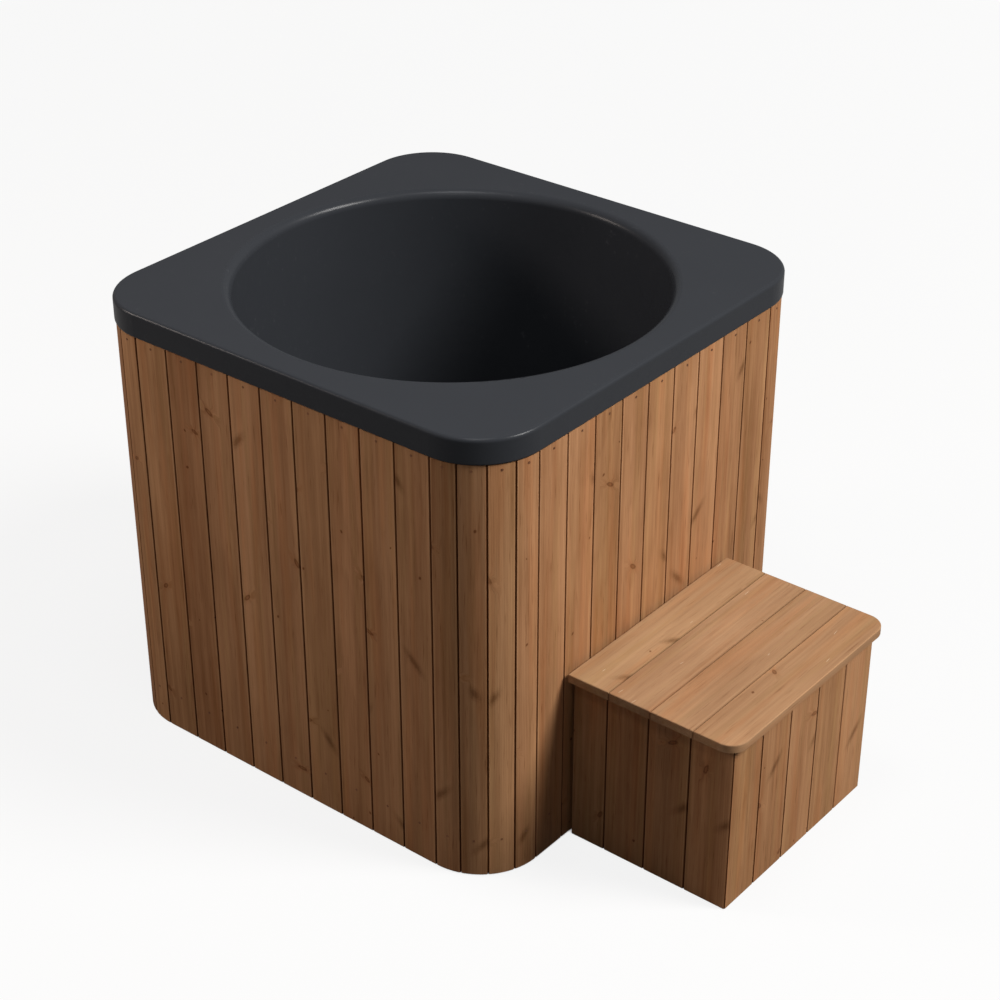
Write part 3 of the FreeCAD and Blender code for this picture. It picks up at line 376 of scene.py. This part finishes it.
def make_timber_figure():
    """Softwood: streaks, rings, fibres, knots, painted shade and highlight at the edges and darker end grain,
    by a place (across, along, deep) in a board.
    """
    group = bpy.data.node_groups.new("timber_figure", "ShaderNodeTree")
    for in_out, sockets in (("INPUT", TIMBER_INPUTS), ("OUTPUT", TIMBER_OUTPUTS)):
        for name, kind in sockets.items():
            group.interface.new_socket(name, in_out=in_out, socket_type=f"NodeSocket{kind}")
    t = Tree(group)
    given = t.add("NodeGroupInput").outputs
    result = t.add("NodeGroupOutput").inputs

    # Each board has its own stretch of the figure
    own = t.random(given["Board"])
    pith_draws = t.random(t.math("ADD", given["Board"], SECOND_DRAW))
    shift = t.join(*[t.product(draw, reach) for draw, reach in zip(own, BOARD_SHIFT)])
    place = t.vector("ADD", given["Place"], shift)
    paleness, redness, drabness = own

    ragged = t.span(t.noise(place, scale=RAGGED_WAVES), *RAGGED)
    speck = make_specks(t, place, ragged, given["Knots"])
    core, rim, halo, bend = make_knots(t, place, ragged, given["Knots"])
    smudge, heart = make_smudges(t, place, ragged, given["Knots"])
    scratch = make_scratches(t, place, ragged, given["Scratches"])

    # Streaks and fibres along the board, bent round the knots
    bent = t.vector("ADD", place, t.join(bend))
    broad = grain(t, bent, across=24.0, along=1.1)
    streaks = grain(t, bent, across=105.0, along=2.3, detail=3.0, rough=0.55)
    fibres = grain(t, bent, across=760.0, along=15.0, rough=0.6)
    flecks = grain(t, bent, across=300.0, along=13.0, rough=0.6)
    clouds = grain(t, place, across=8.0, along=3.4, detail=3.0, rough=0.55)
    redder = grain(t, bent, across=34.0, along=1.7, start=(5.0, 2.0, 8.0))
    paler = grain(t, bent, across=42.0, along=1.3, start=(1.0, 7.0, 3.0))
    late = make_rings(t, given["Place"], place, bend, pith_draws)
    late = t.product(late, t.fade(broad, start=0.3, end=0.7, low=0.35))

    # From dark to light, then redder and duller in places
    tone = t.span(paleness, *BOARD_TONE)
    for layer, weight in ((broad, 0.7), (streaks, 0.8), (fibres, 0.3), (clouds, 0.5)):
        tone = t.math("ADD", tone, t.span(layer, -weight / 2, weight / 2))
    tone = t.math("SUBTRACT", tone, t.fade(flecks, start=0.58, end=0.76, high=0.32))
    tone = t.math("SUBTRACT", tone, t.product(late, LATE_SHARE), clamp=True)
    colour = t.blend(tone, given["Dark"], given["Light"])
    ruddy = t.total(t.fade(redder, start=0.46, end=0.70, high=0.75),
                    t.fade(redness, start=0.55, end=1.0, high=0.35))
    colour = t.blend(ruddy, colour, RUDDY_TINT, "MULTIPLY")
    drab = t.total(t.fade(paler, start=0.46, end=0.70, high=0.7),
                   t.fade(drabness, start=0.55, end=1.0, high=0.35))
    colour = t.blend(drab, colour, DRAB_TINT, "MULTIPLY")

    marks = ((halo, 0.3, HALO_TINT), (smudge, 0.72, SMUDGE_TINT), (heart, 0.4, HEART_TINT),
             (core, 0.55, CORE_TINT), (rim, 0.62, RIM_TINT), (speck, 0.8, SPECK_TINT))
    for mark, weight, tint in marks:
        colour = t.blend(t.product(mark, weight), colour, tint, "MULTIPLY")
    colour = t.blend(t.product(scratch, SCRATCH_SHARE), colour, SCRATCH_COLOUR)

    t.put(result["Color"], edge_shading_and_end_grain(t, given, colour, streaks))
    smoother = t.weigh((late, -0.08), (rim, -0.08))
    t.put(result["Roughness"], t.total(t.span(streaks, *TIMBER_ROUGHNESS), smoother))
    t.put(result["Height"], t.weigh((fibres, 0.6), (late, 0.35), (rim, 0.35)))
    return group


timber_figure = make_timber_figure()

TIMBER_SPECULAR = 0.05

# An end so far off, in metres, that no end grain shows
FAR = 10.0

# Painted shade: upright boards are a little darker towards the floor; the heights between which that sets in,
# in metres
PAINTED_LOW_SHADE_HEIGHTS = (0.85, 0.0)
PAINTED_LOW_SHADE_SHARE = 0.6


def finish_timber(tree, shader, place, board, half, colours, knots=1.0, groove=1.0, end=FAR, scratches=0.0,
                  painted_low_shade=None):
    light, dark = colours
    group = tree.add("ShaderNodeGroup", {"node_tree": timber_figure}, Place=place, Board=board, Half=half,
                     Light=light, Dark=dark, Knots=knots, Groove=groove, End=end, Scratches=scratches)
    figure = group.outputs
    colour = figure["Color"]
    # Painted shade, darker towards the floor
    if painted_low_shade is not None:
        colour = tree.blend(painted_low_shade, colour, PAINTED_LOW_SHADE_TINT, "MULTIPLY")
    tree.put(shader.inputs["Base Color"], colour)
    tree.put(shader.inputs["Roughness"], figure["Roughness"])
    tree.relief(shader, figure["Height"], strength=0.35, distance=0.0006)
    shader.inputs["Specular IOR Level"].default_value = TIMBER_SPECULAR


def upright_boards(name, seed, width, angle=0.0, at=(0.0, 0.0, 0.0), offset=0.0, corner=False):
    """Timber for a row of upright boards; the row is turned to lie along X with its face towards -Y."""
    material, tree, shader = new_material(name)
    x, y, z = tree.split(tree.turn(tree.vector("SUBTRACT", tree.places(), at), math.radians(-angle)))
    if corner:
        around = tree.math("ARCTAN2", x, tree.product(y, -1.0))
        from_axis = tree.vector("LENGTH", tree.join(x, y))
        x = tree.product(around, stave_radius)
        y = tree.math("SUBTRACT", stave_radius, from_axis)
    row = tree.math("ADD", x, offset)
    number = tree.math("FLOOR", tree.math("DIVIDE", row, width))
    middle = tree.product(tree.math("ADD", number, 0.5), width)
    place = tree.join(tree.math("SUBTRACT", row, middle), z, y)
    board = tree.math("ADD", number, seed)
    # Painted shade, darker towards the floor
    painted_low_shade = tree.fade(z, *PAINTED_LOW_SHADE_HEIGHTS, high=PAINTED_LOW_SHADE_SHARE)
    finish_timber(tree, shader, place, board, width / 2, OILED, painted_low_shade=painted_low_shade)
    return material


def single_board(name, seed, axes, middle, half, colours, knots=1.0, groove=0.0, end=FAR, scratches=0.0):
    """Timber for one piece; axes name the directions across, along and into the board."""
    material, tree, shader = new_material(name)
    parts = dict(zip("xyz", tree.split(tree.vector("SUBTRACT", tree.places(), middle))))
    place = tree.join(*[parts[axis] for axis in axes])
    finish_timber(tree, shader, place, float(seed), half, colours, knots, groove, end, scratches)
    return material


def dress(node, material):
    mesh = nodes[node].data
    mesh.materials.clear()
    mesh.materials.append(material)


# Seeds of the boards' figures; the boards of a row count on from the row's own seed
SIDE_SEED = 3
STAVE_SEED = 23
SIDE_SEED_STEP = 41
STEP_FRONT_SEED = 211
STEP_LEFT_SEED = 233
STEP_RIGHT_SEED = 257
TREAD_SEED = 300
TREAD_SEED_STEP = 7
FRAME_SEED = 400
FRAME_SEED_STEP = 5


def dress_cladding():
    """Boards of the four sides and staves of the four corners, each a quarter turn from the last."""
    stave_width = stave_radius * math.pi / 2 / STAVES_A_CORNER
    x, y = flat_half, -flat_half
    for turn, (side, corner) in enumerate(zip(SIDES, CORNERS)):
        angle = 90 * turn
        seed = SIDE_SEED_STEP * turn
        dress(f"{side}_boards",
              upright_boards(f"{side}_cladding", seed + SIDE_SEED, BOARD_WIDTH, angle, offset=flat_half))
        dress(f"corner_staves_{corner}",
              upright_boards(f"{corner}_staves", seed + STAVE_SEED, stave_width, angle, at=(x, y, 0.0),
                             corner=True))
        x, y = -y, x


# How far past the front tread's bare outer edge its groove would lie, so that none shows there, in metres
GROOVE_CLEAR = 0.006


def dress_step():
    front = step_high.x
    front_board = 2 * step_half / STEP_FRONT_BOARDS
    dress("step_front_boards",
          upright_boards("step_front", STEP_FRONT_SEED, front_board, angle=90, at=(front, step_middle, 0.0),
                         offset=step_half))
    dress("step_left_boards",
          upright_boards("step_left", STEP_LEFT_SEED, STEP_SIDE_BOARD, angle=0,
                         at=(front, step_middle - step_half, 0.0)))
    dress("step_right_boards",
          upright_boards("step_right", STEP_RIGHT_SEED, STEP_SIDE_BOARD, angle=180,
                         at=(front, step_middle + step_half, 0.0)))
    for number in range(1, TREAD_BOARDS + 1):
        node = f"tread_board_{number}"
        low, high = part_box(node)
        reach = high.x + (GROOVE_CLEAR if number == TREAD_BOARDS else 0.0)
        middle = ((low.x + reach) / 2, (low.y + high.y) / 2, 0.0)
        seed = TREAD_SEED + TREAD_SEED_STEP * number
        dress(node, single_board(f"tread_{number}", seed, "xyz", middle, (reach - low.x) / 2, TREAD,
                                 groove=0.35, end=(high.y - low.y) / 2, scratches=1.0))


FRAME_STARTS = ("base_", "corner_post", "top_rail", "bottom_rail", "step_post")
FRAME_OTHERS = ["corner_formers", "rail_dowels", "step_left_rails", "step_right_rails", "step_front_rails",
                "step_back_rail"]


def dress_frame():
    """Sawn timber and plywood inside, each piece with its grain along its length."""
    names = [node for node in nodes if node.startswith(FRAME_STARTS)] + FRAME_OTHERS
    for count, node in enumerate(sorted(names)):
        low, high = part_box(node)
        (_, deep), (width, across), (_, along) = sorted(zip(high - low, "xyz"))
        seed = FRAME_SEED + FRAME_SEED_STEP * count
        middle = tuple((low + high) / 2)
        dress(node, single_board(f"{node}_timber", seed, across + along + deep, middle, width / 2, SAWN,
                                 knots=0.7))


# Scuffs on plastic: their waves to the metre, their colour and how strong they show
SCUFF_WAVES = (38.0, 90.0, 38.0)
SCUFF_COLOUR = (0.12, 0.12, 0.13, 1.0)
SCUFF_SHARE = 0.25


def plastic(name, colour, dark, grain_waves, rough, bump, matt_tops=0.0):
    """Moulded plastic with a fine grain, faint scuffs, uneven sheen and, where wanted, matt level faces."""
    material, tree, shader = new_material(name)
    place = tree.places()
    clouds = tree.noise(place, scale=4.0, detail=4.0, rough=0.6)
    specks = tree.noise(place, scale=grain_waves, detail=3.0, rough=0.7)
    scuffs = tree.noise(tree.vector("MULTIPLY", place, SCUFF_WAVES), detail=5.0, rough=0.75)
    worn = tree.product(tree.fade(scuffs, start=0.60, end=0.72), tree.fade(clouds, start=0.42, end=0.66))
    shade = tree.blend(tree.weigh((clouds, 0.6), (specks, 0.4)), dark, colour)
    tree.put(shader.inputs["Base Color"], tree.blend(tree.product(worn, SCUFF_SHARE), shade, SCUFF_COLOUR))
    upward = tree.split(tree.add("ShaderNodeNewGeometry").outputs["Normal"])[2]
    matt = tree.fade(upward, start=0.95, end=0.995, high=matt_tops)
    uneven = tree.weigh((clouds, 0.16), (worn, 0.12), (specks, 0.08))
    tree.put(shader.inputs["Roughness"], tree.total(uneven, rough, matt))
    tree.relief(shader, specks, strength=bump, distance=0.0004)
    return material, shader


# Drawn lines on metal, in waves to the metre, and what its roughness is lowered by, because they add to it
LINE_WAVES = 900.0
LINES_ADD = 0.1


def metal(name, colour, dark, along, rough, stretch=40.0):
    """Metal with fine lines drawn along one axis, dull patches and spots."""
    material, tree, shader = new_material(name)
    place = tree.places()
    waves = [LINE_WAVES / stretch if axis == along else LINE_WAVES for axis in "xyz"]
    lines = tree.noise(tree.vector("MULTIPLY", place, waves), detail=3.0, rough=0.6)
    dull = tree.noise(place, scale=60.0, detail=4.0, rough=0.6)
    tone = tree.weigh((lines, 0.45), (dull, 0.55))
    tree.put(shader.inputs["Base Color"], tree.blend(tree.fade(tone, start=0.32, end=0.62), dark, colour))
    uneven = tree.weigh((lines, 0.14), (dull, 0.12))
    tree.put(shader.inputs["Roughness"], tree.total(uneven, rough - LINES_ADD))
    tree.relief(shader, lines, strength=0.12, distance=0.0002)
    shader.inputs["Metallic"].default_value = 1.0
    return material


SHELL_SPECULAR = 0.1


def dress_plastics():
    shell, shader = plastic("shell_moulding", rgb(50, 52, 56), rgb(44, 46, 50), grain_waves=1400.0,
                            rough=0.16, bump=0.06, matt_tops=0.45)
    shader.inputs["Specular IOR Level"].default_value = SHELL_SPECULAR
    dress("tub_shell", shell)
    pipe, _ = plastic("grey_pipe", rgb(126, 130, 134), rgb(100, 104, 108), grain_waves=700.0, rough=0.34,
                      bump=0.08)
    for node in ("drain_nut", "drain_elbow", "drain_pipe"):
        dress(node, pipe)
    seat, _ = plastic("seat_ring", rgb(226, 226, 220), rgb(206, 206, 200), grain_waves=700.0, rough=0.28,
                      bump=0.05)
    dress("ball_seats", seat)
    rubber, _ = plastic("gasket", rgb(44, 44, 44), rgb(30, 30, 30), grain_waves=900.0, rough=0.66, bump=0.2)
    dress("drain_gasket", rubber)
    lever, _ = plastic("lever_coat", rgb(58, 60, 64), rgb(42, 44, 47), grain_waves=800.0, rough=0.30,
                       bump=0.14)
    dress("valve_lever", lever)


def dress_metals():
    nails = metal("nail_heads", rgb(150, 105, 78), rgb(108, 72, 52), along="z", rough=0.50, stretch=2.0)
    dress("cladding_nails", nails)
    screws = metal("zinc_screws", rgb(190, 182, 160), rgb(146, 138, 118), along="z", rough=0.34, stretch=2.0)
    for node in ("frame_screws", "step_board_screws", "tread_screws"):
        dress(node, screws)
    steel = metal("stainless", rgb(200, 201, 203), rgb(160, 162, 165), along="x", rough=0.30)
    for node in ("drain_flange", "drain_strainer", "wall_plate", "lever_nut"):
        dress(node, steel)
    brass = metal("dull_brass", rgb(206, 170, 98), rgb(150, 116, 58), along="y", rough=0.34, stretch=6.0)
    for node in ("valve_body", "hose_tail", "valve_stem"):
        dress(node, brass)
    ball = metal("ball_plating", rgb(222, 223, 226), rgb(190, 191, 195), along="z", rough=0.16, stretch=4.0)
    dress("valve_ball", ball)


# What the camera sees behind the part, and how much of it a mirrored ray sees
BACKDROP = grey(0.98)
REFLECTED = 0.2


def shows_backdrop(tree):
    """1 for a ray that shows the white backdrop, less for a mirrored one, and 0 for any other."""
    path = tree.add("ShaderNodeLightPath").outputs
    mirrored = tree.product(path["Is Glossy Ray"], REFLECTED)
    through = tree.math("MAXIMUM", mirrored, path["Is Transmission Ray"])
    return tree.math("MAXIMUM", path["Is Camera Ray"], through)


# The floor's half-width, the distances between which it runs into the backdrop, and how near a wall has to be
# to shut it in, in metres
FLOOR_REACH = 30.0
FLOOR_FADE = (1.6, 6.0)
SHUT_IN_REACH = 0.6

# Greys of the floor: for the light that it throws on the part, of its paper, and of its glow near the part
FLOOR_BOUNCE = grey(0.14)
FLOOR_PAPER = grey(0.9)
FLOOR_NEAR = grey(0.95)


def make_floor():
    """Pale floor: the camera sees it near white, with the part's shadow, and it lights the part a little."""
    mesh = bpy.data.meshes.new("floor")
    corners = [(x * FLOOR_REACH, y * FLOOR_REACH, 0) for x, y in ((-1, -1), (1, -1), (1, 1), (-1, 1))]
    mesh.from_pydata(corners, [], [(0, 1, 2, 3)])
    floor = bpy.data.objects.new("floor", mesh)
    bpy.context.scene.collection.objects.link(floor)
    material = bpy.data.materials.new("floor_paper")
    tree = bare_tree(material)
    dim = tree.add("ShaderNodeBsdfDiffuse", Color=FLOOR_BOUNCE)
    paper = tree.add("ShaderNodeBsdfDiffuse", Color=FLOOR_PAPER)
    # Far from the part the floor runs into the white of the backdrop
    far = tree.fade(tree.vector("LENGTH", tree.places()), *FLOOR_FADE)
    glow = tree.add("ShaderNodeEmission", Color=tree.blend(far, FLOOR_NEAR, BACKDROP), Strength=1.0)
    # Floor that is shut in, as inside the step's box, is plain paper, so that gaps above it show dark
    shut_in = tree.add("ShaderNodeAmbientOcclusion", {"samples": 16}, Distance=SHUT_IN_REACH)
    open_floor = tree.fade(shut_in.outputs["AO"], start=0.05, end=0.22, high=0.9)
    glow_share = tree.math("MAXIMUM", open_floor, far)
    shown = tree.mix(glow_share, paper, glow)
    mixed = tree.mix(shows_backdrop(tree), dim, shown)
    tree.add("ShaderNodeOutputMaterial", Surface=mixed.outputs[0])
    mesh.materials.append(material)


# The sky's own light, faint and a little cool
SKY_COLOUR = (0.94, 0.97, 1.0, 1.0)
SKY_STRENGTH = 0.05


def make_world():
    world = bpy.data.worlds.new("studio")
    bpy.context.scene.world = world
    tree = bare_tree(world)
    dim = tree.add("ShaderNodeBackground", Color=SKY_COLOUR, Strength=SKY_STRENGTH)
    white = tree.add("ShaderNodeBackground", Color=BACKDROP, Strength=1.0)
    mixed = tree.mix(shows_backdrop(tree), dim, white)
    tree.add("ShaderNodeOutputWorld", Surface=mixed.outputs[0])


def add_lamp(name, place, aim, width, power, colour):
    """A round lamp that points at aim; its width in metres and its power in watts."""
    lamp = bpy.data.lights.new(name, "AREA")
    lamp.shape = "DISK"
    lamp.size = width
    lamp.energy = power
    lamp.color = colour
    light = bpy.data.objects.new(name, lamp)
    light.location = place
    light.rotation_euler = (place - aim).to_track_quat("Z", "Y").to_euler()
    bpy.context.scene.collection.objects.link(light)


# What the lamps point at, and how far off and which way the key lamp stands, in metres
PART_MIDDLE = Vector((0.3, 0.0, 0.6))
FRONT_LEFT = Vector((-0.3, -0.4, 0.9))
BASIN_MIDDLE = Vector((0.0, 0.0, 0.8))
KEY_DISTANCE = 13.0
KEY_WAY = Vector((0.64, 0.28, 0.71))


def make_lamps():
    add_lamp("key", PART_MIDDLE + KEY_DISTANCE * KEY_WAY, PART_MIDDLE, width=4.8, power=2260.0,
             colour=(1.0, 0.985, 0.96))
    add_lamp("fill", Vector((-3.5, -2.8, 2.7)), FRONT_LEFT, width=1.2, power=94.0, colour=(1.0, 0.87, 0.79))
    add_lamp("top", Vector((0.5, -0.75, 4.4)), BASIN_MIDDLE, width=1.2, power=42.0, colour=(0.97, 0.98, 1.0))
    add_lamp("front", Vector((2.0, -2.7, 4.6)), BASIN_MIDDLE, width=0.8, power=16.0,
             colour=(1.0, 0.98, 0.96))


# The photo's camera: its lens and sensor in millimetres, its place in metres and its turn in radians
SENSOR_WIDTH = 36.0
FOCAL_LENGTH = 80.37
CAMERA_PLACE = (2.6746, -3.1679, 2.9241)
CAMERA_TURN = (1.0365, 0.0, 0.6778)


def make_camera():
    lens = bpy.data.cameras.new("photo_camera")
    lens.sensor_width = SENSOR_WIDTH
    lens.lens = FOCAL_LENGTH
    camera = bpy.data.objects.new("photo_camera", lens)
    camera.location = CAMERA_PLACE
    camera.rotation_euler = CAMERA_TURN
    bpy.context.scene.collection.objects.link(camera)
    bpy.context.scene.camera = camera


make_camera()
make_floor()
make_world()
make_lamps()
dress_cladding()
dress_step()
dress_frame()
dress_plastics()
dress_metals()
bpy.context.scene.view_settings.view_transform = "Standard"
